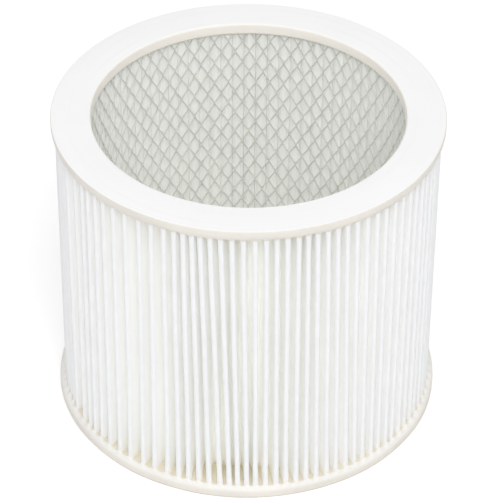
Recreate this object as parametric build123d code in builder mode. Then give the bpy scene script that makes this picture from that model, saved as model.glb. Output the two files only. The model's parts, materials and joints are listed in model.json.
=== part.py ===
"""Pleated cartridge filter for a wet and dry vacuum.

One sheet of filter cloth is folded into upright pleats and closed into a ring. It stands around
a sleeve of expanded mesh, and a moulded ring closes each end of both. The axis of the ring is Z,
and the lower face of the bottom ring lies on Z = 0. All sizes are millimetres.
"""
import os
from math import cos, hypot, pi, sin

from build123d import *

# Overall sizes and end rings
overall_height = 172.0
bore_diameter = 158.4  # clear opening through both end rings
top_cap_thickness = 5.4
bottom_cap_thickness = 5.2
top_cap_overhang = 2.0  # ring beyond the pleat tips
bottom_cap_overhang = 3.2
top_edge_break = 0.6
bottom_rim_bevel = 2.2  # sloped upper edge of the bottom ring's flange

# Filter cloth
pleat_count = 96
pleat_depth = 16.6  # from inner fold to outer tip
cloth_thickness = 0.7
tip_gap = 1.4  # air inside an outer fold
root_gap = 1.2  # air inside an inner fold
tip_bevel = 0.8  # sloped shoulders of a pressed outer fold

# Expanded mesh sleeve
mesh_inset = 1.6  # from the bore wall out to the sleeve's inner corners
mesh_thickness = 0.6
mesh_columns = 24
mesh_rows = 5
strand_width = 2.2
groove_depth = 2.5  # how far the sleeve's ends sit in the end rings
groove_clearance = 0.15

# Radii, from the bore outwards
bore_radius = bore_diameter / 2
mesh_inner_radius = bore_radius + mesh_inset
mesh_outer_radius = mesh_inner_radius + mesh_thickness
root_radius = mesh_outer_radius  # the inner folds rest on the sleeve's corners
tip_radius = root_radius + pleat_depth
top_cap_radius = tip_radius + top_cap_overhang
bottom_cap_radius = tip_radius + bottom_cap_overhang

# Heights
top_cap_base = overall_height - top_cap_thickness
cloth_height = top_cap_base - bottom_cap_thickness
mesh_base = bottom_cap_thickness - groove_depth
mesh_height = cloth_height + 2 * groove_depth

# The sleeve's strands run straight from bond to bond, so its wall has two flats a column
mesh_flats = 2 * mesh_columns
flat_angle = 2 * pi / mesh_flats
cell_half_width = mesh_outer_radius * sin(flat_angle)
cell_half_height = mesh_height / (mesh_rows + 1)
strand_distance = cell_half_width * cell_half_height / hypot(cell_half_width, cell_half_height)
opening_scale = 1 - strand_width / 2 / strand_distance
groove_inner_radius = mesh_inner_radius * cos(flat_angle / 2) - groove_clearance
groove_outer_radius = mesh_outer_radius + groove_clearance


def ring_sketch(outer_radius, inner_radius):
    """Flat ring centred on the axis, added to the sketch in hand."""
    Circle(outer_radius)
    Circle(inner_radius, mode=Mode.SUBTRACT)


def pleat_point(axis_angle, radius, side):
    """Point beside a fold's own radial line: out along the line, then sideways from it."""
    x = radius * cos(axis_angle) - side * sin(axis_angle)
    y = radius * sin(axis_angle) + side * cos(axis_angle)
    return (x, y)


# Top end ring, with a groove below for the sleeve
with BuildPart() as top_end_cap:
    with BuildSketch(Plane.XY.offset(top_cap_base)):
        ring_sketch(top_cap_radius, bore_radius)
    extrude(amount=top_cap_thickness)
    with BuildSketch(Plane.XY.offset(top_cap_base)):
        ring_sketch(groove_outer_radius, groove_inner_radius)
    extrude(amount=groove_depth, mode=Mode.SUBTRACT)
    top_rims = top_end_cap.edges().filter_by(GeomType.CIRCLE)
    chamfer(top_rims.group_by(SortBy.RADIUS)[-1], top_edge_break)

# Bottom end ring, a little wider, with a sloped upper rim and the same groove above
with BuildPart() as bottom_end_cap:
    with BuildSketch():
        ring_sketch(bottom_cap_radius, bore_radius)
    extrude(amount=bottom_cap_thickness)
    with BuildSketch(Plane.XY.offset(mesh_base)):
        ring_sketch(groove_outer_radius, groove_inner_radius)
    extrude(amount=groove_depth, mode=Mode.SUBTRACT)
    bottom_rims = bottom_end_cap.edges().filter_by(GeomType.CIRCLE)
    chamfer(bottom_rims.group_by(SortBy.RADIUS)[-1].sort_by(Axis.Z)[-1], bottom_rim_bevel)

# Pleated cloth: one sheet folded around the ring, seen from above as two closed zigzags
half_pitch = pi / pleat_count
tip_half_width = tip_gap / 2 + cloth_thickness
root_half_width = root_gap / 2 + cloth_thickness
outer_side = []
inner_side = []
for fold in range(pleat_count):
    tip_angle = (2 * fold + 1) * half_pitch
    root_angle = tip_angle + half_pitch
    outer_side += [
        pleat_point(tip_angle, tip_radius - tip_bevel, -tip_half_width),
        pleat_point(tip_angle, tip_radius, tip_bevel - tip_half_width),
        pleat_point(tip_angle, tip_radius, tip_half_width - tip_bevel),
        pleat_point(tip_angle, tip_radius - tip_bevel, tip_half_width),
        pleat_point(root_angle, root_radius + cloth_thickness, -root_gap / 2),
        pleat_point(root_angle, root_radius + cloth_thickness, root_gap / 2),
    ]
    inner_side += [
        pleat_point(tip_angle, tip_radius - cloth_thickness, -tip_gap / 2),
        pleat_point(tip_angle, tip_radius - cloth_thickness, tip_gap / 2),
        pleat_point(root_angle, root_radius, -root_half_width),
        pleat_point(root_angle, root_radius, root_half_width),
    ]

with BuildPart() as pleated_cloth:
    with BuildSketch(Plane.XY.offset(bottom_cap_thickness)):
        with BuildLine():
            Polyline(outer_side, close=True)
        make_face()
        with BuildLine():
            Polyline(inner_side, close=True)
        make_face(mode=Mode.SUBTRACT)
    extrude(amount=cloth_height)

# One diamond opening of the sleeve, standing across its wall on the +X side
with BuildPart() as mesh_opening:
    with BuildSketch(Plane.YZ.offset(bore_radius)):
        Polygon(
            (cell_half_width * opening_scale, 0),
            (0, cell_half_height * opening_scale),
            (-cell_half_width * opening_scale, 0),
            (0, -cell_half_height * opening_scale),
            align=None,
        )
    extrude(amount=tip_radius - bore_radius)

# Sleeve of expanded mesh: staggered rows of diamonds, cut through at both ends
with BuildPart() as inner_screen:
    with BuildSketch(Plane.XY.offset(mesh_base)):
        RegularPolygon(mesh_outer_radius, mesh_flats)
        RegularPolygon(mesh_inner_radius, mesh_flats, mode=Mode.SUBTRACT)
    extrude(amount=mesh_height)
    for row in range(mesh_rows + 2):
        first_column = (row % 2) * 360 / mesh_flats
        with Locations((0, 0, mesh_base + row * cell_half_height)):
            with PolarLocations(0, mesh_columns, start_angle=first_column):
                add(mesh_opening.part, mode=Mode.SUBTRACT)

os.makedirs("parts", exist_ok=True)
top_end_cap.part.label = "top_end_cap"
export_step(top_end_cap.part, "parts/top_end_cap.step")
bottom_end_cap.part.label = "bottom_end_cap"
export_step(bottom_end_cap.part, "parts/bottom_end_cap.step")
pleated_cloth.part.label = "pleated_cloth"
export_step(pleated_cloth.part, "parts/pleated_cloth.step")
inner_screen.part.label = "inner_screen"
export_step(inner_screen.part, "parts/inner_screen.step")
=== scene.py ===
import json
from bisect import bisect
from math import atan2, cos, exp, pi, radians, sin, tau

import bmesh
import bpy
from mathutils import Matrix, Vector, noise


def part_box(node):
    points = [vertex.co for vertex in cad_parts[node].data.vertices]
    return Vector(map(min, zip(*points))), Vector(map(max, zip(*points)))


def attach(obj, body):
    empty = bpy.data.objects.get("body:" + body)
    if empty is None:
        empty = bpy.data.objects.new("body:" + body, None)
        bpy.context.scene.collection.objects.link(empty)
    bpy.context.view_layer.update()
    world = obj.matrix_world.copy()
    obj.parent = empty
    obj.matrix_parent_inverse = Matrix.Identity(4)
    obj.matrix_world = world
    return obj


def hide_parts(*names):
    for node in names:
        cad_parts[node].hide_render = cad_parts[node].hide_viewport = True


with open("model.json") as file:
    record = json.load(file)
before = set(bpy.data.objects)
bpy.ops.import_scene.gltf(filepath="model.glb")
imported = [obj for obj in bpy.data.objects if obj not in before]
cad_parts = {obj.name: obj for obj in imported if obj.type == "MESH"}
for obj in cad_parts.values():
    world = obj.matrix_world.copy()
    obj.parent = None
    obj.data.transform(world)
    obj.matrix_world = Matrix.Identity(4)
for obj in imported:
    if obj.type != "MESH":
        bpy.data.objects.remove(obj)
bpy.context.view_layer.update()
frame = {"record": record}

bl_info = {
    "name": "Pleated cartridge filter",
    "version": (1, 0, 0),
    "blender": (4, 5, 0),
    "location": "View3D > Sidebar > Cartridge",
    "description": "Dresses a pleated cartridge filter: folded cloth, diamond screen and cast end rings",
    "category": "Object",
}

MM = 0.001

# Sizes that come from the frame
TOP_LOW, TOP_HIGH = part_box("top_end_cap")
BOTTOM_LOW, BOTTOM_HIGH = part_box("bottom_end_cap")
CLOTH_LOW, CLOTH_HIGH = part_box("pleated_cloth")
BORE = next(m for m in frame["record"]["mounts"] if m["name"] == "cage_bore")
BORE_RADIUS = BORE["dims"]["r_mm"] * MM
TOP_RADIUS = TOP_HIGH.x
BOTTOM_RADIUS = BOTTOM_HIGH.x
TIP_RADIUS = CLOTH_HIGH.x
SCREEN_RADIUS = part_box("inner_screen")[1].x

# Meshes
FOLD_STEPS = 24  # along one pleat
FOLD_LEVELS = 19  # up a pleat
FOLD_SEED = 7  # of the folds' stray values
RING_SEGMENTS = 960

# Stage
PHOTO_WIDTH_PX = 500
FLOOR_REACH = 6.0
FLOOR_GLOW = 0.24  # seen by the camera and in reflections, and by no diffuse ray
SKY_COLOUR = (0.98, 0.985, 0.997, 1)
LAMP_TARGET = Vector((0, 0, 0.08))
DIFFUSE_BOUNCES = 26  # enough for light to reach the bottom of the narrow gaps


def in_radians(*degrees):
    """These angles in radians, as a property's default."""
    return tuple(radians(angle) for angle in degrees)


class ClothSettings(bpy.types.PropertyGroup):
    """The folded filter cloth."""

    pleat_count: bpy.props.IntProperty(
        name="Pleats", description="Outer folds around the ring", default=96, min=12
    )
    thickness: bpy.props.FloatProperty(
        name="Thickness", description="Thickness of the cloth",
        default=0.65 * MM, unit="LENGTH", precision=5,
    )
    tip_fold: bpy.props.FloatProperty(
        name="Outer fold", description="Bend radius of an outer fold, at the cloth's middle",
        default=0.98 * MM, unit="LENGTH", precision=5,
    )
    root_slit: bpy.props.FloatProperty(
        name="Inner slit", description="Gap that is left between neighbouring inner folds",
        default=0.1 * MM, unit="LENGTH", precision=5,
    )
    root_round: bpy.props.FloatProperty(
        name="Inner rounding", description="How far an inner fold bulges towards the screen",
        default=2.9 * MM, unit="LENGTH", precision=5,
    )
    flare: bpy.props.FloatProperty(
        name="Swollen ends", description="How much wider an outer fold gets where it was potted",
        default=0.55, subtype="FACTOR", min=0, max=1,
    )
    start: bpy.props.FloatProperty(
        name="Start", description="Turn of the whole ring of pleats",
        default=radians(-2.2), subtype="ANGLE",
    )
    crowding: bpy.props.FloatProperty(
        name="Crowding", description="How much closer the pleats stand on one side than on average",
        default=0.174, subtype="FACTOR", min=0, max=0.5,
    )
    crowded_side: bpy.props.FloatProperty(
        name="Crowded side", description="Where around the ring they stand closest",
        default=radians(-120), subtype="ANGLE",
    )
    wide_spot: bpy.props.FloatVectorProperty(
        name="Wide spot", description="Place, half width and extra room where pleats were pulled apart",
        default=in_radians(-134.3, 11.6, 10.8), size=3, subtype="EULER",
    )
    tight_spot: bpy.props.FloatVectorProperty(
        name="Tight spot", description="Place, half width and lost room where pleats were pushed together",
        default=in_radians(-115, 4.8, -0.95), size=3, subtype="EULER",
    )
    join: bpy.props.FloatVectorProperty(
        name="Join", description="Place, half width and extra room where the sheet's two ends meet",
        default=in_radians(-158.4, 0.8, 3.27), size=3, subtype="EULER",
    )
    left_lean: bpy.props.FloatVectorProperty(
        name="Left lean", description="Place, half width and lean of the pleats that lean on the left",
        default=in_radians(-100, 9, 2.75), size=3, subtype="EULER",
    )
    right_lean: bpy.props.FloatVectorProperty(
        name="Right lean", description="Place, half width and lean of the pleats that lean on the right",
        default=in_radians(-61, 15, 2.2), size=3, subtype="EULER",
    )
    unevenness: bpy.props.FloatProperty(
        name="Unevenness", description="How far a single fold stands out of its place",
        default=radians(0.12), subtype="ANGLE",
    )
    tip_stray: bpy.props.FloatProperty(
        name="Stray", description="How far a single outer fold stands in or out of the ring",
        default=0.22 * MM, unit="LENGTH", precision=5,
    )
    lean: bpy.props.FloatProperty(
        name="Lean", description="How far any outer fold leans from top to bottom, left or right",
        default=radians(0.5), subtype="ANGLE",
    )
    sway: bpy.props.FloatProperty(
        name="Sway", description="How far an outer fold bends along its height",
        default=radians(0.3), subtype="ANGLE",
    )
    colour: bpy.props.FloatVectorProperty(
        name="Cloth", description="Colour of the cloth", subtype="COLOR", size=3,
        default=(0.99, 0.991, 0.98), min=0, max=1,
    )
    # Painted highlight: the outer folds are painted darker than the rest of the cloth, to hold down their
    # highlight and leave the gaps lighter against their shade
    dimmed_tip_colour: bpy.props.FloatVectorProperty(
        name="Outer folds", description="Colour of the outer folds, rubbed and a little dusty",
        subtype="COLOR", size=3, default=(0.93, 0.932, 0.937), min=0, max=1,
    )
    # Partly painted shade: the cream of the compound that the cloth drew in, painted darker for the shade
    # where the cloth meets the rings
    soaked_and_shaded_colour: bpy.props.FloatVectorProperty(
        name="Soaked ends", description="Colour of the cloth where it drew in the compound",
        subtype="COLOR", size=3, default=(0.90, 0.87, 0.79), min=0, max=1,
    )


class ScreenSettings(bpy.types.PropertyGroup):
    """The expanded diamond screen inside the pleats."""

    columns: bpy.props.IntProperty(
        name="Columns", description="Diamonds around the screen", default=68, min=8
    )
    rows: bpy.props.IntProperty(
        name="Half rows", description="Rows of bonds up the screen", default=25, min=4
    )
    strand_width: bpy.props.FloatProperty(
        name="Strand width", description="Width of a strand across its run",
        default=0.58 * MM, unit="LENGTH", precision=5,
    )
    strand_thickness: bpy.props.FloatProperty(
        name="Strand thickness", description="Thickness of the sheet that was slit",
        default=0.5 * MM, unit="LENGTH", precision=5,
    )
    bond_length: bpy.props.FloatProperty(
        name="Bond length", description="Length of the solid joint between four strands",
        default=0.9 * MM, unit="LENGTH", precision=5,
    )
    twist: bpy.props.FloatProperty(
        name="Strand twist", description="Turn of a strand about its own length",
        default=radians(24), subtype="ANGLE",
    )
    colour: bpy.props.FloatVectorProperty(
        name="Screen", description="Colour of the dull coated metal", subtype="COLOR", size=3,
        default=(0.70, 0.715, 0.675), min=0, max=1,
    )


class RingSettings(bpy.types.PropertyGroup):
    """The two cast end rings."""

    edge_radius: bpy.props.FloatProperty(
        name="Edge radius", description="Rounding of the rings' edges",
        default=0.7 * MM, unit="LENGTH", precision=5,
    )
    draft: bpy.props.FloatProperty(
        name="Draft", description="How far the bore widens towards the top ring's face",
        default=0.6 * MM, unit="LENGTH", precision=5,
    )
    under_edge: bpy.props.FloatProperty(
        name="Under edge", description="Compound that has crept down to the screen below the bore wall",
        default=1.3 * MM, unit="LENGTH", precision=5,
    )
    lip_radius: bpy.props.FloatProperty(
        name="Lip radius", description="Rounding of the bore's upper edge",
        default=1.1 * MM, unit="LENGTH", precision=5,
    )
    rim_radius: bpy.props.FloatProperty(
        name="Rim radius", description="Rounding of the bottom ring's upper rim",
        default=2.4 * MM, unit="LENGTH", precision=5,
    )
    creep: bpy.props.FloatProperty(
        name="Creep", description="How far the compound has crept along the pleats",
        default=1.2 * MM, unit="LENGTH", precision=5,
    )
    embed: bpy.props.FloatProperty(
        name="Potting", description="How deep the cloth and the screen run into the rings",
        default=0.8 * MM, unit="LENGTH", precision=5,
    )
    colour: bpy.props.FloatVectorProperty(
        name="Compound", description="Colour of the cast compound on its outer sides",
        subtype="COLOR", size=3, default=(0.805, 0.77, 0.705), min=0, max=1,
    )
    # Painted light: the compound in the bore is painted lighter than on the outer sides, to make up for
    # the shade in the bore
    lit_bore_colour: bpy.props.FloatVectorProperty(
        name="Bore", description="Colour of the compound in the bore", subtype="COLOR", size=3,
        default=(0.998, 0.955, 0.895), min=0, max=1,
    )
    # Painted shade: the compound in the pockets between the pleats' lower ends is painted a darker gold
    shaded_pocket_colour: bpy.props.FloatVectorProperty(
        name="Pockets", description="Colour of the compound between the pleats' lower ends",
        subtype="COLOR", size=3, default=(0.78, 0.72, 0.56), min=0, max=1,
    )
    # Painted highlight: the faces that look up are painted whiter than the cream sides, as if lit from
    # above
    lit_face_colour: bpy.props.FloatVectorProperty(
        name="Faces", description="Colour of the flat faces, whitened by the lighting",
        subtype="COLOR", size=3, default=(0.955, 0.951, 0.948), min=0, max=1,
    )
    foot_colour: bpy.props.FloatVectorProperty(
        name="Foot", description="Colour of the darkening along the bottom edge", subtype="COLOR", size=3,
        default=(0.50, 0.42, 0.34), min=0, max=1,
    )
    trace_colour: bpy.props.FloatVectorProperty(
        name="Traces", description="Colour of the faint rings left on the faces", subtype="COLOR", size=3,
        default=(0.93, 0.89, 0.895), min=0, max=1,
    )


class StageSettings(bpy.types.PropertyGroup):
    """Floor, lamps and camera."""

    focal_px: bpy.props.FloatProperty(
        name="Focal length", description="Focal length in pixels of the square frame", default=2666
    )
    distance: bpy.props.FloatProperty(
        name="Distance", description="From the camera to the point that it looks at",
        default=1.400, unit="LENGTH",
    )
    elevation: bpy.props.FloatProperty(
        name="Elevation", description="Height of the camera over the horizon",
        default=radians(38.15), subtype="ANGLE",
    )
    roll: bpy.props.FloatProperty(
        name="Roll", description="Turn of the camera about its line of sight",
        default=radians(0.485), subtype="ANGLE",
    )
    look_at: bpy.props.FloatVectorProperty(
        name="Look at", description="Point in the middle of the frame",
        default=(1.25 * MM, 0, 83.0 * MM), size=3, subtype="XYZ", unit="LENGTH",
    )
    floor_colour: bpy.props.FloatVectorProperty(
        name="Floor", description="Colour of the floor", subtype="COLOR", size=3,
        default=(0.9, 0.9, 0.9), min=0, max=1,
    )
    sky: bpy.props.FloatProperty(
        name="Sky", description="Strength of the light from all round", default=0.64
    )
    key: bpy.props.FloatProperty(
        name="Key", description="Power of the large lamp at the front right", default=8.4, unit="POWER"
    )
    fill: bpy.props.FloatProperty(
        name="Fill", description="Power of the lamp over the camera", default=29.0, unit="POWER"
    )


class NodeBench:
    """Adds nodes to a tree and links them, so that a formula stays short."""

    def __init__(self, tree):
        self.tree = tree
        self.sockets = {}

    def node(self, kind, inputs=None, **settings):
        """A new node with these settings, and a value or a link for each named input."""
        made = self.tree.nodes.new(kind)
        for key, value in settings.items():
            setattr(made, key, value)
        for key, value in (inputs or {}).items():
            self.feed(made.inputs[key], value)
        return made

    def feed(self, socket, value):
        """Links a socket to an input, or sets the input's own value."""
        if isinstance(value, bpy.types.NodeSocket):
            self.tree.links.new(value, socket)
        else:
            socket.default_value = value

    def math(self, operation, *values, clamp=False):
        """Result of one Math node."""
        made = self.node("ShaderNodeMath", operation=operation, use_clamp=clamp)
        for socket, value in zip(made.inputs, values):
            self.feed(socket, value)
        return made.outputs[0]

    def plus(self, *values):
        total = values[0]
        for value in values[1:]:
            total = self.math("ADD", total, value)
        return total

    def minus(self, first, second):
        return self.math("SUBTRACT", first, second)

    def times(self, *values):
        total = values[0]
        for value in values[1:]:
            total = self.math("MULTIPLY", total, value)
        return total

    def over(self, first, second):
        return self.math("DIVIDE", first, second)

    def blend(self, first, second, share):
        """first where share is 0, second where it is 1."""
        return self.plus(first, self.times(self.minus(second, first), share))

    def vector(self, x=0.0, y=0.0, z=0.0):
        return self.node("ShaderNodeCombineXYZ", {"X": x, "Y": y, "Z": z}).outputs[0]

    def parts(self, vector):
        return self.node("ShaderNodeSeparateXYZ", {"Vector": vector}).outputs

    def noise(self, vector, scale=1.0, detail=1.0, **values):
        inputs = {"Vector": vector, "Scale": scale, "Detail": detail, **values}
        return self.node("ShaderNodeTexNoise", inputs, noise_dimensions="3D").outputs[0]


def group_bench(name, tree_type, inputs, outputs):
    """A new node group with these named sockets, and the bench that fills it."""
    tree = bpy.data.node_groups.new(name, tree_type)
    for way, sockets in (("INPUT", inputs), ("OUTPUT", outputs)):
        for label, kind in sockets.items():
            tree.interface.new_socket(label, in_out=way, socket_type="NodeSocket" + kind)
    bench = NodeBench(tree)
    bench.sockets = bench.node("NodeGroupInput").outputs
    return bench


def end_tree(bench, geometry, material):
    """Closes a geometry tree: real mesh, one material."""
    real = bench.node("GeometryNodeRealizeInstances", {"Geometry": geometry})
    dressed = bench.node("GeometryNodeSetMaterial", {"Geometry": real.outputs[0], "Material": material})
    bench.node("NodeGroupOutput", {"Geometry": dressed.outputs[0]})


def grow(name, tree, values, thickness=0.0):
    """Evaluates a geometry tree with these input values and keeps the result as a plain mesh."""
    piece = bpy.data.objects.new(name, bpy.data.meshes.new(name))
    bpy.context.scene.collection.objects.link(piece)
    modifier = piece.modifiers.new(tree.name, "NODES")
    modifier.node_group = tree
    for item in tree.interface.items_tree:
        if item.in_out == "INPUT":
            modifier[item.identifier] = values[item.name]
    if thickness:
        wall = piece.modifiers.new("wall", "SOLIDIFY")
        wall.thickness = thickness
        wall.offset = 0
        wall.use_even_offset = True
    graph = bpy.context.evaluated_depsgraph_get()
    graph.update()
    mesh = bpy.data.meshes.new_from_object(
        piece.evaluated_get(graph), preserve_all_data_layers=True, depsgraph=graph
    )
    if not mesh.polygons:
        raise RuntimeError(f"{name}: the tree {tree.name} made no faces")
    piece.modifiers.clear()
    piece.data = mesh
    mesh.name = name
    return piece


def settle(piece, node):
    """Puts a finished piece in the frame, in place of its CAD node."""
    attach(piece, "root")
    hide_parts(node)


# Folded cloth


def pleated_sheet_tree():
    """One sheet folded around the axis.

    Each outer and inner fold is an arc, with a straight side between them.
    """
    bench = group_bench("pleated sheet", "GeometryNodeTree", {
        "Pleats": "Int", "Steps": "Int", "Levels": "Int", "Low": "Float", "High": "Float",
        "Tip radius": "Float", "Root radius": "Float", "Tip fold": "Float", "Root slit": "Float",
        "Root round": "Float", "Thickness": "Float", "Flare": "Float", "Start": "Float",
        "Crowding": "Float", "Crowded side": "Float", "Wide spot": "Vector", "Tight spot": "Vector",
        "Join": "Vector", "Left lean": "Vector", "Right lean": "Vector", "Unevenness": "Float",
        "Lean": "Float", "Sway": "Float", "Tip stray": "Float", "Seed": "Int", "Cloth": "Material",
    }, {"Geometry": "Geometry"})
    get = bench.sockets
    plus, minus, times, over, blend, math = (
        bench.plus, bench.minus, bench.times, bench.over, bench.blend, bench.math,
    )
    grid = bench.node("GeometryNodeMeshGrid", {
        "Size X": get["Pleats"], "Size Y": 1.0,
        "Vertices X": plus(times(get["Pleats"], get["Steps"]), 1), "Vertices Y": get["Levels"],
    })
    along, height, _ = bench.parts(bench.node("GeometryNodeInputPosition").outputs[0])
    nudge = 1e-4  # keeps the grid's points off the border between two pleats
    along = plus(along, over(get["Pleats"], 2), nudge)
    height = minus(0.5, times(math("COSINE", times(plus(height, 0.5), pi)), 0.5))

    # Place on the sheet: pleat number, outer or inner half, then the share of its arc and of its side
    arc_share = 2 / 3
    pleat = math("FLOOR", along)
    in_pleat = times(minus(along, pleat), 2)
    half = math("FLOOR", in_pleat)
    in_half = minus(minus(in_pleat, half), 2 * nudge)
    turn = times(minus(math("DIVIDE", in_half, arc_share, clamp=True), 0.5), pi)
    side = math("DIVIDE", minus(in_half, arc_share), 1 - arc_share, clamp=True)
    near_tip = blend(minus(1, side), side, half)

    # Angles of the outer folds, with the uneven spacing of a hand-closed cartridge
    def spot(angle, name):
        """How far this angle is along a spot's rise from -1 to 1, and the spot's amount."""
        place, width, amount = bench.parts(get[name])
        return math("TANH", over(minus(angle, place), width)), amount

    def tip_angle(number):
        """Angle of the outer fold with this number."""
        even = minus(times(over(number, get["Pleats"]), tau), pi)
        crowd = times(get["Crowding"], math("SINE", minus(even, get["Crowded side"])))
        angle = minus(plus(even, get["Start"]), crowd)
        for name in ("Wide spot", "Tight spot", "Join"):
            rise, room = spot(even, name)
            angle = plus(angle, times(room, 0.5, minus(rise, over(even, pi))))
        return angle

    this_tip = tip_angle(pleat)
    next_tip = tip_angle(plus(pleat, 1))
    root_angle = times(plus(this_tip, next_tip), 0.5)
    tip = blend(this_tip, next_tip, half)

    def stray(seed_step):
        """An outer fold's own stray value, -1 to 1."""
        least, most = 2, 3  # the node's two sockets for a plain number
        made = bench.node("FunctionNodeRandomValue", {
            least: -1.0, most: 1.0, "Seed": plus(get["Seed"], seed_step),
            "ID": math("FLOORED_MODULO", plus(pleat, half), get["Pleats"]),
        }, data_type="FLOAT")
        return made.outputs[1]

    # An outer fold leans and sways, while the inner folds stay upright on the screen
    ring = (math("COSINE", tip), math("SINE", tip))
    lean_scale = 3
    lean_slice = 4.7
    sway_scale = 9
    sway_bends = 2.2
    lean_field = bench.noise(
        bench.vector(times(ring[0], lean_scale), times(ring[1], lean_scale), lean_slice)
    )
    sway_field = bench.noise(
        bench.vector(times(ring[0], sway_scale), times(ring[1], sway_scale), times(height, sway_bends))
    )
    lean = times(get["Lean"], minus(lean_field, 0.5), 4)
    for name in ("Left lean", "Right lean"):
        rise, amount = spot(tip, name)
        lean = plus(lean, times(amount, minus(1, times(rise, rise))))
    tip_place = plus(
        tip,
        times(stray(2), get["Unevenness"]),
        times(lean, minus(0.5, height)),
        times(get["Sway"], minus(sway_field, 0.5), 2),
    )

    # Centre lines and half widths: an outer fold swells where it was potted, inner folds fill the rest
    tip_centre = minus(get["Tip radius"], get["Tip fold"])
    root_centre = plus(get["Root radius"], get["Root round"])
    end_gap = times(minus(0.5, math("ABSOLUTE", minus(height, 0.5))), minus(get["High"], get["Low"]))
    swell_length = 2.4 * MM
    swell = times(get["Flare"], math("EXPONENT", over(end_gap, -swell_length)))
    tip_half = times(over(get["Tip fold"], tip_centre), plus(1, swell))
    root_half = minus(
        times(minus(next_tip, this_tip), 0.5),
        over(times(plus(get["Thickness"], get["Root slit"]), 0.5), root_centre),
    )
    outward = minus(1, times(half, 2))
    radius = plus(
        blend(root_centre, tip_centre, near_tip),
        times(outward, blend(get["Tip fold"], get["Root round"], half), math("COSINE", turn)),
        times(stray(1), near_tip, get["Tip stray"]),
    )
    crest = over(minus(radius, get["Root radius"]), minus(get["Tip radius"], get["Root radius"]))
    arc_angle = plus(
        blend(tip_place, root_angle, half),
        times(blend(tip_half, root_half, half), math("SINE", turn)),
    )
    next_arc = minus(blend(root_angle, tip_place, half), blend(root_half, tip_half, half))
    angle = blend(arc_angle, next_arc, side)
    place = bench.vector(
        times(radius, math("COSINE", angle)),
        times(radius, math("SINE", angle)),
        blend(get["Low"], get["High"], height),
    )
    marked = bench.node("GeometryNodeStoreNamedAttribute", {
        "Geometry": grid.outputs[0], "Name": "crest", "Value": crest,
    }, data_type="FLOAT", domain="POINT")
    folded = bench.node("GeometryNodeSetPosition", {"Geometry": marked.outputs[0], "Position": place})
    closed = bench.node("GeometryNodeMergeByDistance", {
        "Geometry": folded.outputs[0], "Distance": 0.02 * MM,
    })
    smooth = bench.node("GeometryNodeSetShadeSmooth", {"Geometry": closed.outputs[0]})
    end_tree(bench, smooth.outputs[0], get["Cloth"])
    return bench.tree


# Diamond screen


def diamond_screen_tree():
    """Expanded sheet: a bond and two rising strands on every point of a staggered grid, rolled round."""
    bench = group_bench("diamond screen", "GeometryNodeTree", {
        "Columns": "Int", "Rows": "Int", "Low": "Float", "High": "Float", "Radius": "Float",
        "Strand width": "Float", "Strand thickness": "Float", "Bond length": "Float",
        "Twist": "Float", "Metal": "Material",
    }, {"Geometry": "Geometry"})
    get = bench.sockets
    plus, minus, times, over, math = bench.plus, bench.minus, bench.times, bench.over, bench.math
    pitch = over(times(get["Radius"], tau), get["Columns"])
    step = over(minus(get["High"], get["Low"]), get["Rows"])
    run = over(pitch, 2)
    rise = minus(step, get["Bond length"])
    length = math("SQRT", plus(times(run, run), times(rise, rise)))
    slope = math("ARCTAN2", run, rise)

    def strand(way):
        """A strand that rises from a bond, to one side for 1 and to the other for -1."""
        bar = bench.node("GeometryNodeMeshCube", {
            "Size": bench.vector(get["Strand width"], get["Strand thickness"], length),
        })
        turned = bench.node("GeometryNodeTransform", {
            "Geometry": bar.outputs[0], "Rotation": bench.vector(0, 0, times(get["Twist"], way)),
        })
        leaning = bench.node("GeometryNodeTransform", {
            "Geometry": turned.outputs[0],
            "Rotation": bench.vector(0, times(slope, way), 0),
            "Translation": bench.vector(times(run, way / 2), 0, over(step, 2)),
        })
        return leaning.outputs[0]

    bond_width = times(get["Strand width"], 1.3)
    bond_height = times(get["Bond length"], 1.6)
    bond = bench.node("GeometryNodeMeshCube", {
        "Size": bench.vector(bond_width, get["Strand thickness"], bond_height),
    })
    cell = bench.node("GeometryNodeJoinGeometry")
    for part in (strand(1), strand(-1), bond.outputs[0]):
        bench.tree.links.new(part, cell.inputs[0])

    grid = bench.node("GeometryNodeMeshGrid", {
        "Size X": times(pitch, minus(get["Columns"], 1)), "Size Y": times(step, minus(get["Rows"], 1)),
        "Vertices X": get["Columns"], "Vertices Y": get["Rows"],
    })
    across, up, _ = bench.parts(bench.node("GeometryNodeInputPosition").outputs[0])
    up = plus(up, times(step, minus(get["Rows"], 1), 0.5))
    odd = math("FLOORED_MODULO", math("ROUND", over(up, step)), 2)
    staggered = bench.node("GeometryNodeSetPosition", {
        "Geometry": grid.outputs[0],
        "Position": bench.vector(plus(across, times(odd, run)), 0, plus(up, get["Low"])),
    })
    cells = bench.node("GeometryNodeInstanceOnPoints", {
        "Points": staggered.outputs[0], "Instance": cell.outputs[0],
    })
    flat = bench.node("GeometryNodeRealizeInstances", {"Geometry": cells.outputs[0]})
    across, depth, up = bench.parts(bench.node("GeometryNodeInputPosition").outputs[0])
    angle = over(across, get["Radius"])
    ring = (math("COSINE", angle), math("SINE", angle))
    dents_around = 2.5
    dents_up = 30
    dent_depth = 0.8 * MM
    dents = bench.noise(
        bench.vector(times(ring[0], dents_around), times(ring[1], dents_around), times(up, dents_up))
    )
    ripple = times(minus(dents, 0.5), dent_depth)
    radius = plus(get["Radius"], depth, ripple)
    rolled = bench.node("GeometryNodeSetPosition", {
        "Geometry": flat.outputs[0],
        "Position": bench.vector(times(radius, ring[0]), times(radius, ring[1]), up),
    })
    outward = bench.node("GeometryNodeFlipFaces", {"Mesh": rolled.outputs[0]})
    end_tree(bench, outward.outputs[0], get["Metal"])
    return bench.tree


# Cast end rings


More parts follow.
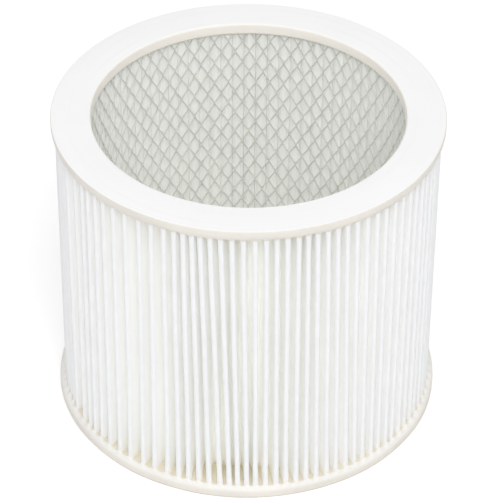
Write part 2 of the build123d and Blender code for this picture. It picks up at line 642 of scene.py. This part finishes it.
def rounded_outline(corners, steps=5):
    """Closed outline of radius and height through these corners, each with its own rounding."""
    points = []
    for index, (radius, height, rounding) in enumerate(corners):
        here = Vector((radius, height))
        if not rounding:
            points.append(here)
            continue
        before = Vector(corners[index - 1][:2])
        after = Vector(corners[(index + 1) % len(corners)][:2])
        start = here + (before - here).normalized() * rounding
        end = here + (after - here).normalized() * rounding
        for step in range(steps + 1):
            share = step / steps
            points.append(start.lerp(here, share).lerp(here.lerp(end, share), share))
    return points


def ring_mesh(name, outline, segments, shift):
    """Closed ring turned from an outline. shift gives each point's own radius and height."""
    mesh = bpy.data.meshes.new(name)
    made = bmesh.new()
    loops = []
    for segment in range(segments):
        angle = tau * segment / segments
        loop = []
        for point in outline:
            radius, height = shift(angle, point)
            loop.append(made.verts.new((radius * cos(angle), radius * sin(angle), height)))
        loops.append(loop)
    count = len(outline)
    for segment, loop in enumerate(loops):
        following = loops[(segment + 1) % segments]
        for index in range(count):
            other = (index + 1) % count
            made.faces.new((loop[index], following[index], following[other], loop[other]))
    bmesh.ops.remove_doubles(made, verts=made.verts, dist=0.001 * MM)
    bmesh.ops.recalc_face_normals(made, faces=made.faces)
    for face in made.faces:
        face.smooth = True
    made.to_mesh(mesh)
    made.free()
    piece = bpy.data.objects.new(name, mesh)
    bpy.context.scene.collection.objects.link(piece)
    return piece


def outer_folds(cloth, level):
    """Angles of the cloth's outer folds at this level, in order."""
    level_reach = 0.1 * MM
    tip_reach = 0.5 * MM
    fold_reach = radians(0.6)
    rim = [v.co for v in cloth.data.vertices if abs(v.co.z - level) < level_reach]
    angles = sorted(atan2(co.y, co.x) for co in rim if co.xy.length > TIP_RADIUS - tip_reach)
    groups = [[angles[0]]]
    for angle in angles[1:]:
        if angle - groups[-1][-1] < fold_reach:
            groups[-1].append(angle)
        else:
            groups.append([angle])
    return [sum(group) / len(group) for group in groups]


def nearness(folds, angle, width):
    """1 at an outer fold, falling to 0 over this width along the ring."""
    place = bisect(folds, (angle + pi) % tau - pi)
    gaps = [abs((angle - folds[index % len(folds)] + pi) % tau - pi) for index in (place - 1, place)]
    return exp(-((TIP_RADIUS * min(gaps) / width) ** 2))


def ramp(value, length):
    """0 up to zero, rising to 1 at this length."""
    return min(1.0, max(0.0, value / length))


def ring_noise(angle, scale, seed):
    """Smooth noise around the ring, -1 to 1."""
    return noise.noise(Vector((cos(angle) * scale, sin(angle) * scale, seed)))


# Materials


def mottle_group():
    """Slow cloudy change between two colours."""
    bench = group_bench(
        "mottle", "ShaderNodeTree",
        {"Vector": "Vector", "Scale": "Float", "First": "Color", "Second": "Color"},
        {"Colour": "Color"},
    )
    get = bench.sockets
    share = step_mask(bench, bench.noise(get["Vector"], get["Scale"], detail=3.0), 0.35, 0.65)
    colour = colour_mix(bench, share, get["First"], get["Second"])
    bench.node("NodeGroupOutput", {"Colour": colour})
    return bench.tree


def grain_group():
    """Fine random relief: fibres, pits or the grain of a coating, by its scale."""
    bench = group_bench(
        "grain", "ShaderNodeTree",
        {"Vector": "Vector", "Scale": "Float", "Coarse": "Float"},
        {"Height": "Float"},
    )
    get = bench.sockets
    fine_share = 0.6
    fine = bench.noise(get["Vector"], get["Scale"], detail=4.0, Distortion=0.6)
    coarse = bench.noise(get["Vector"], get["Coarse"], detail=2.0)
    height = bench.plus(bench.times(fine, fine_share), bench.times(coarse, 1 - fine_share))
    bench.node("NodeGroupOutput", {"Height": height})
    return bench.tree


def shared_group(name, make):
    """The shader group of this name, made at its first use."""
    return bpy.data.node_groups.get(name) or make()


def material_bench(name):
    """A new material with a Principled shader, and the bench that fills it."""
    material = bpy.data.materials.new(name)
    material.use_nodes = True
    material.node_tree.nodes.clear()
    bench = NodeBench(material.node_tree)
    shader = bench.node("ShaderNodeBsdfPrincipled")
    bench.node("ShaderNodeOutputMaterial", {"Surface": shader.outputs[0]})
    return material, bench, shader


def add_relief(bench, shader, vector, scale, coarse, distance):
    """Bump from the shared grain group, into the shader's normal."""
    grain = bench.node("ShaderNodeGroup", node_tree=shared_group("grain", grain_group))
    bench.feed(grain.inputs["Vector"], vector)
    bench.feed(grain.inputs["Scale"], scale)
    bench.feed(grain.inputs["Coarse"], coarse)
    bump = bench.node("ShaderNodeBump", {
        "Height": grain.outputs["Height"], "Strength": 0.5, "Distance": distance,
    })
    bench.feed(shader.inputs["Normal"], bump.outputs[0])
    return grain.outputs["Height"]


def add_mottle(bench, vector, scale, first, second):
    """Two-colour cloud from the shared mottle group."""
    mottle = bench.node("ShaderNodeGroup", node_tree=shared_group("mottle", mottle_group))
    bench.feed(mottle.inputs["Vector"], vector)
    bench.feed(mottle.inputs["Scale"], scale)
    bench.feed(mottle.inputs["First"], (*first, 1))
    bench.feed(mottle.inputs["Second"], (*second, 1))
    return mottle.outputs["Colour"]


def object_place(bench):
    """Place on the piece, in its own coordinates."""
    return bench.node("ShaderNodeTexCoord").outputs["Object"]


def step_mask(bench, value, start, end):
    """0 at start, 1 at end, with a soft step between."""
    return bench.node("ShaderNodeMapRange", {
        "Value": value, "From Min": start, "From Max": end,
    }, interpolation_type="SMOOTHSTEP").outputs[0]


def colour_mix(bench, share, first, second):
    """First colour where share is 0, second where it is 1."""
    factor, colour_a, colour_b, result = 0, 6, 7, 2  # the node's sockets for colours
    inputs = {factor: share, colour_a: first, colour_b: second}
    return bench.node("ShaderNodeMix", inputs, data_type="RGBA").outputs[result]


def shade(colour, factor):
    """A colour made lighter or darker, channel by channel."""
    return tuple(min(1.0, channel * factor) for channel in colour)


def cloth_material(cloth):
    """White filter cloth: matted fibres, outer folds painted darker against their highlight, ends that
    drew in the compound painted a darker cream for their shade, and a few dust specks.
    """
    material, bench, shader = material_bench("filter cloth")
    place = object_place(bench)
    # Painted light: the outer folds take a darker colour than the cloth between them, against their
    # highlight and against the shade in the gaps
    undimmed = add_mottle(bench, place, scale=70.0, first=cloth.colour, second=shade(cloth.colour, 0.99))
    darkened = add_mottle(
        bench, place, scale=110.0, first=cloth.dimmed_tip_colour, second=shade(cloth.dimmed_tip_colour, 0.98)
    )
    crest = bench.node("ShaderNodeAttribute", attribute_name="crest").outputs["Fac"]
    dimmed = colour_mix(bench, step_mask(bench, crest, 0.75, 1.0), undimmed, darkened)

    # Ends that drew in the compound, with a ragged border: the compound's cream, partly painted shade,
    # darker where the cloth meets the rings
    border = 3.5 * MM
    ragged = bench.times(bench.minus(bench.noise(place, scale=260.0, detail=3.0), 0.5), border)
    level = bench.plus(bench.parts(place)[2], ragged)
    above = step_mask(bench, level, CLOTH_HIGH.z - 3.2 * MM, CLOTH_HIGH.z - 0.2 * MM)
    below = step_mask(bench, level, CLOTH_LOW.z + 3.0 * MM, CLOTH_LOW.z)
    soaked_and_shaded_strength = 0.8
    soaked_and_shaded = bench.times(bench.math("MAXIMUM", above, below), soaked_and_shaded_strength)
    body = colour_mix(bench, soaked_and_shaded, dimmed, (*cloth.soaked_and_shaded_colour, 1))

    # A speck in a few of the cells that fill the cloth
    speck_size = 0.022
    speckless_share = 0.93
    speck_strength = 0.45
    speck_colour = (0.30, 0.29, 0.26, 1)
    cells = bench.node("ShaderNodeTexVoronoi", {"Vector": place, "Scale": 55.0}, feature="F1")
    near = bench.math("LESS_THAN", cells.outputs["Distance"], speck_size)
    pick = bench.math("GREATER_THAN", bench.parts(cells.outputs["Color"])[0], speckless_share)
    specked = colour_mix(bench, bench.times(near, pick, speck_strength), body, speck_colour)
    bench.feed(shader.inputs["Base Color"], specked)
    height = add_relief(bench, shader, place, scale=5200.0, coarse=2400.0, distance=0.03 * MM)
    bench.feed(shader.inputs["Roughness"], bench.blend(0.84, 0.96, height))
    shader.inputs["Specular IOR Level"].default_value = 0.25
    return material


def compound_material(rings):
    """Cast compound: cream sides, upward faces painted white as lit from above, the bore painted lighter
    against its shade, golden pockets painted darker as shade, with faint rings, clouds and fine pits.
    """
    material, bench, shader = material_bench("end ring compound")
    place = object_place(bench)
    x, y, level = bench.parts(place)
    radius = bench.math("SQRT", bench.plus(bench.times(x, x), bench.times(y, y)))
    outer = add_mottle(bench, place, scale=38.0, first=rings.colour, second=shade(rings.colour, 1.05))
    # Painted light: the bore takes a lighter cream than the outer sides, against its shade
    beyond_bore = step_mask(bench, radius, BORE_RADIUS + 0.8 * MM, BORE_RADIUS + 4.8 * MM)
    side = colour_mix(bench, beyond_bore, (*rings.lit_bore_colour, 1), outer)

    # Flat faces with faint rings, and golden compound in the pockets between the lower ends, painted
    # darker as shade
    face = add_mottle(
        bench, place, scale=24.0, first=rings.lit_face_colour, second=shade(rings.lit_face_colour, 0.985)
    )
    traces_across = 420
    traces_along = 9
    trace_strength = 0.35
    trace_place = bench.vector(
        bench.times(radius, traces_across), bench.times(x, traces_along), bench.times(y, traces_along)
    )
    trace = step_mask(bench, bench.noise(trace_place, detail=2.0), 0.56, 0.72)
    ringed = colour_mix(bench, bench.times(trace, trace_strength), face, (*rings.trace_colour, 1))
    pocket_shade = bench.times(
        step_mask(bench, radius, TIP_RADIUS + 0.6 * MM, TIP_RADIUS - 0.6 * MM),
        step_mask(bench, level, BOTTOM_HIGH.z + 0.7 * MM, BOTTOM_HIGH.z + 0.1 * MM),
    )
    flat = colour_mix(bench, pocket_shade, ringed, (*rings.shaded_pocket_colour, 1))

    # Painted highlight, by which way the surface looks: the top ring's upward faces are painted white and
    # end at their edges, and the bottom ring's rim fades from white into its side
    normal = bench.node("ShaderNodeTexCoord").outputs["Normal"]
    lower_ring = step_mask(bench, level, TOP_LOW.z, BOTTOM_HIGH.z)
    upward = bench.parts(normal)[2]
    fade_strength = 0.6
    sharp = step_mask(bench, upward, 0.75, 0.98)
    soft = bench.times(step_mask(bench, upward, 0.0, 1.25), fade_strength)
    skin = colour_mix(bench, bench.blend(sharp, soft, lower_ring), side, flat)
    # A darker brown along the bottom edge
    foot_strength = 0.6
    foot = bench.times(step_mask(bench, level, 1.1 * MM, 0.3 * MM), foot_strength)
    bench.feed(shader.inputs["Base Color"], colour_mix(bench, foot, skin, (*rings.foot_colour, 1)))
    height = add_relief(bench, shader, place, scale=2600.0, coarse=600.0, distance=0.08 * MM)
    bench.feed(shader.inputs["Roughness"], bench.blend(0.52, 0.68, height))
    shader.inputs["Specular IOR Level"].default_value = 0.35
    return material


def screen_material(colour):
    """Dull coated metal with clouded grey."""
    material, bench, shader = material_bench("screen metal")
    place = object_place(bench)
    cloud = add_mottle(bench, place, scale=160.0, first=colour, second=shade(colour, 1.1))
    bench.feed(shader.inputs["Base Color"], cloud)
    height = add_relief(bench, shader, place, scale=4000.0, coarse=1200.0, distance=0.03 * MM)
    bench.feed(shader.inputs["Roughness"], bench.blend(0.42, 0.62, height))
    shader.inputs["Metallic"].default_value = 0.1
    return material


# Operators


class CARTRIDGE_OT_fold_cloth(bpy.types.Operator):
    """Fold the filter cloth into pleats around the screen"""

    bl_idname = "cartridge.fold_cloth"
    bl_label = "Fold cloth"

    def execute(self, context):
        cloth = context.scene.cartridge_cloth
        rings = context.scene.cartridge_rings
        material = cloth_material(cloth)
        tip_radius = TIP_RADIUS - cloth.thickness / 2
        root_radius = SCREEN_RADIUS + cloth.thickness / 2
        low = CLOTH_LOW.z - rings.embed
        high = CLOTH_HIGH.z + rings.embed
        piece = grow("filter_cloth", pleated_sheet_tree(), {
            "Pleats": cloth.pleat_count, "Steps": FOLD_STEPS, "Levels": FOLD_LEVELS,
            "Low": low, "High": high,
            "Tip radius": tip_radius, "Root radius": root_radius,
            "Tip fold": cloth.tip_fold, "Root slit": cloth.root_slit, "Root round": cloth.root_round,
            "Thickness": cloth.thickness, "Flare": cloth.flare, "Start": cloth.start,
            "Crowding": cloth.crowding, "Crowded side": cloth.crowded_side,
            "Wide spot": cloth.wide_spot, "Tight spot": cloth.tight_spot, "Join": cloth.join,
            "Left lean": cloth.left_lean, "Right lean": cloth.right_lean,
            "Unevenness": cloth.unevenness, "Lean": cloth.lean, "Sway": cloth.sway,
            "Tip stray": cloth.tip_stray, "Seed": FOLD_SEED, "Cloth": material,
        }, thickness=cloth.thickness)
        settle(piece, "pleated_cloth")

        return {"FINISHED"}


class CARTRIDGE_OT_expand_screen(bpy.types.Operator):
    """Roll the diamond screen that stands inside the pleats"""

    bl_idname = "cartridge.expand_screen"
    bl_label = "Expand screen"

    def execute(self, context):
        screen = context.scene.cartridge_screen
        rings = context.scene.cartridge_rings
        material = screen_material(screen.colour)
        piece = grow("diamond_screen", diamond_screen_tree(), {
            "Columns": screen.columns, "Rows": screen.rows,
            "Low": BOTTOM_HIGH.z - rings.embed, "High": TOP_LOW.z + rings.embed,
            "Radius": SCREEN_RADIUS - screen.strand_thickness,
            "Strand width": screen.strand_width, "Strand thickness": screen.strand_thickness,
            "Bond length": screen.bond_length, "Twist": screen.twist, "Metal": material,
        })
        settle(piece, "inner_screen")
        return {"FINISHED"}


class CARTRIDGE_OT_cast_rings(bpy.types.Operator):
    """Cast the two end rings over the ends of the cloth"""

    bl_idname = "cartridge.cast_rings"
    bl_label = "Cast end rings"

    def execute(self, context):
        rings = context.scene.cartridge_rings
        material = compound_material(rings)
        cloth = bpy.data.objects["filter_cloth"]
        edge = rings.edge_radius
        upper_folds = outer_folds(cloth, CLOTH_HIGH.z + rings.embed)
        lower_folds = outer_folds(cloth, CLOTH_LOW.z - rings.embed)

        def top_shift(angle, point):
            """The skirt under the edge has crept down each outer fold, unevenly."""
            radius, height = point
            low = ramp(TOP_LOW.z + 1.4 * MM - height, length=1.6 * MM)
            out = ramp(radius - TIP_RADIUS + 0.6 * MM, length=0.8 * MM)
            wet = 0.2 + 0.8 * nearness(upper_folds, angle, width=1.5 * MM)
            slow = 0.6 * ring_noise(angle, scale=7, seed=1.3)
            quick = 0.3 * ring_noise(angle, scale=40, seed=5.1)
            drop = rings.creep * wet * (0.75 + slow + quick)
            wave = 0.15 * MM * ring_noise(angle, scale=2.2, seed=9.4)
            return radius + wave * out, height - low * out * drop

        skirt_rise = 1.6 * MM
        skirt_reach = 0.6 * MM
        skirt_drop = 0.2 * MM
        skirt_inset = 0.9 * MM
        top = ring_mesh("top_ring", rounded_outline([
            (BORE_RADIUS + 2 * rings.under_edge, TOP_LOW.z, 0),
            (BORE_RADIUS + rings.under_edge, TOP_LOW.z - rings.under_edge, 0.4 * MM),
            (BORE_RADIUS, TOP_LOW.z, 0.6 * MM),
            (BORE_RADIUS + rings.draft, TOP_HIGH.z, rings.lip_radius),
            (TOP_RADIUS, TOP_HIGH.z, edge),
            (TOP_RADIUS, TOP_LOW.z + skirt_rise, 0.9 * MM),
            (TIP_RADIUS + skirt_reach, TOP_LOW.z - skirt_drop, 0.5 * MM),
            (TIP_RADIUS - skirt_inset, TOP_LOW.z, 0.3 * MM),
        ]), RING_SEGMENTS, top_shift)

        def bottom_shift(angle, point):
            """The flange is a little wavy as poured, with a mound of compound around each outer fold."""
            radius, height = point
            out = max(0.0, (radius - TIP_RADIUS) / (BOTTOM_RADIUS - TIP_RADIUS))
            up = height / BOTTOM_HIGH.z
            wave = 0.3 * MM * ring_noise(angle, scale=2.6, seed=3.7) - 0.2 * MM
            climb_width = 1.3 * MM
            climb = exp(-(((radius - TIP_RADIUS) / climb_width) ** 2)) if up > 0.98 else 0.0
            mound = rings.creep * climb * nearness(lower_folds, angle, width=1.7 * MM)
            uneven = 0.9 + 0.5 * ring_noise(angle, scale=9, seed=2.2)
            ripple = 0.25 * MM * out * up * ring_noise(angle, scale=8, seed=6.2)
            return radius + wave * out, height + ripple + mound * uneven

        # Points close to the outer folds, for the mounds to rise from
        ledge_steps = (-3, -2, -1.3, -0.7, -0.2, 0.2, 0.6)
        ledge = [(TIP_RADIUS + step * MM, BOTTOM_HIGH.z, 0) for step in ledge_steps]
        bottom = ring_mesh("bottom_ring", rounded_outline([
            (BORE_RADIUS, BOTTOM_LOW.z, edge),
            (BORE_RADIUS, BOTTOM_HIGH.z, 0.4 * MM),
            *ledge,
            (BOTTOM_RADIUS, BOTTOM_HIGH.z, rings.rim_radius),
            (BOTTOM_RADIUS, BOTTOM_LOW.z, edge),
        ]), RING_SEGMENTS, bottom_shift)

        for piece, node in ((top, "top_end_cap"), (bottom, "bottom_end_cap")):
            piece.data.materials.append(material)
            settle(piece, node)
        return {"FINISHED"}


class CARTRIDGE_OT_set_stage(bpy.types.Operator):
    """Lay the floor and set the lamps and the camera"""

    bl_idname = "cartridge.set_stage"
    bl_label = "Set stage"

    def execute(self, context):
        stage = context.scene.cartridge_stage
        self.lay_floor(context, stage)
        self.light(context, stage)
        self.aim(context, stage)
        return {"FINISHED"}

    def lay_floor(self, context, stage):
        """A matt white floor, which takes the object's shadow."""
        mesh = bpy.data.meshes.new("floor")
        sides = ((-1, -1), (1, -1), (1, 1), (-1, 1))
        corners = [(x * FLOOR_REACH, y * FLOOR_REACH, BOTTOM_LOW.z) for x, y in sides]
        mesh.from_pydata(corners, [], [(0, 1, 2, 3)])
        floor = bpy.data.objects.new("floor", mesh)
        context.scene.collection.objects.link(floor)
        material, bench, shader = material_bench("floor white")
        shader.inputs["Base Color"].default_value = (*stage.floor_colour, 1)
        shader.inputs["Roughness"].default_value = 0.9
        shader.inputs["Specular IOR Level"].default_value = 0.0
        rays = bench.node("ShaderNodeLightPath").outputs
        seen = bench.math("MAXIMUM", rays["Is Camera Ray"], rays["Is Glossy Ray"])
        seen = bench.math("MAXIMUM", seen, rays["Is Transmission Ray"])
        shader.inputs["Emission Color"].default_value = (1, 1, 1, 1)
        bench.feed(shader.inputs["Emission Strength"], bench.times(seen, FLOOR_GLOW))
        mesh.materials.append(material)

    def light(self, context, stage):
        """A sky that is brighter overhead and a little dimmer on the right, and two large lamps."""
        world = bpy.data.worlds.new("studio")
        world.use_nodes = True
        background = world.node_tree.nodes["Background"]
        background.inputs["Color"].default_value = SKY_COLOUR
        bench = NodeBench(world.node_tree)
        right, _, up = bench.parts(bench.node("ShaderNodeTexCoord").outputs["Generated"])
        level = 0.72
        gain_upward = 0.50
        gain_rightward = -0.10
        shape = bench.plus(level, bench.times(up, gain_upward), bench.times(right, gain_rightward))
        bench.feed(background.inputs["Strength"], bench.times(stage.sky, shape))
        context.scene.world = world
        lamps = (
            ("key", stage.key, 1.36, 1.36, (1.0, -0.8, 2.6)),
            ("fill", stage.fill, 1.15, 1.1, (0.07, -2.05, 2.2)),
        )
        for name, power, width, length, place in lamps:
            data = bpy.data.lights.new(name, "AREA")
            data.shape = "RECTANGLE"
            data.energy = power
            data.size = width
            data.size_y = length
            lamp = bpy.data.objects.new(name, data)
            lamp.location = place
            aim = LAMP_TARGET - lamp.location
            lamp.rotation_euler = aim.to_track_quat("-Z", "Y").to_euler()
            context.scene.collection.objects.link(lamp)
        context.scene.view_settings.view_transform = "Standard"
        context.scene.cycles.diffuse_bounces = DIFFUSE_BOUNCES
        context.scene.cycles.max_bounces = DIFFUSE_BOUNCES + 2

    def aim(self, context, stage):
        """The camera, as fitted to the photograph."""
        data = bpy.data.cameras.new("camera")
        data.sensor_width = 36.0
        data.lens = stage.focal_px / PHOTO_WIDTH_PX * data.sensor_width
        camera = bpy.data.objects.new("camera", data)
        back = Vector((0, -cos(stage.elevation), sin(stage.elevation)))
        right = Vector((1, 0, 0))
        up = back.cross(right)
        level_right = cos(stage.roll) * right + sin(stage.roll) * up
        level_up = cos(stage.roll) * up - sin(stage.roll) * right
        place = Matrix((level_right, level_up, back)).transposed().to_4x4()
        place.translation = Vector(stage.look_at) + back * stage.distance
        camera.matrix_world = place
        context.scene.collection.objects.link(camera)
        context.scene.camera = camera


class CARTRIDGE_PT_sidebar(bpy.types.Panel):
    """Steps and settings of the cartridge filter"""

    bl_label = "Cartridge filter"
    bl_idname = "CARTRIDGE_PT_sidebar"
    bl_space_type = "VIEW_3D"
    bl_region_type = "UI"
    bl_category = "Cartridge"

    def draw(self, context):
        for operator, settings in STEPS:
            box = self.layout.box()
            box.operator(operator.bl_idname)
            group = getattr(context.scene, settings)
            for name in group.bl_rna.properties.keys():
                if name not in {"rna_type", "name"}:
                    box.prop(group, name)


SETTINGS = {
    "cartridge_cloth": ClothSettings,
    "cartridge_screen": ScreenSettings,
    "cartridge_rings": RingSettings,
    "cartridge_stage": StageSettings,
}
STEPS = (
    (CARTRIDGE_OT_fold_cloth, "cartridge_cloth"),
    (CARTRIDGE_OT_expand_screen, "cartridge_screen"),
    (CARTRIDGE_OT_cast_rings, "cartridge_rings"),
    (CARTRIDGE_OT_set_stage, "cartridge_stage"),
)


def register():
    for name, group in SETTINGS.items():
        bpy.utils.register_class(group)
        setattr(bpy.types.Scene, name, bpy.props.PointerProperty(type=group))
    for operator, _ in STEPS:
        bpy.utils.register_class(operator)
    bpy.utils.register_class(CARTRIDGE_PT_sidebar)


def unregister():
    bpy.utils.unregister_class(CARTRIDGE_PT_sidebar)
    for operator, _ in reversed(STEPS):
        bpy.utils.unregister_class(operator)
    for name, group in reversed(SETTINGS.items()):
        delattr(bpy.types.Scene, name)
        bpy.utils.unregister_class(group)


def main():
    """Makes every piece and the stage."""
    register()
    bpy.ops.cartridge.fold_cloth()
    bpy.ops.cartridge.expand_screen()
    bpy.ops.cartridge.cast_rings()
    bpy.ops.cartridge.set_stage()


if __name__ == "__main__":
    main()
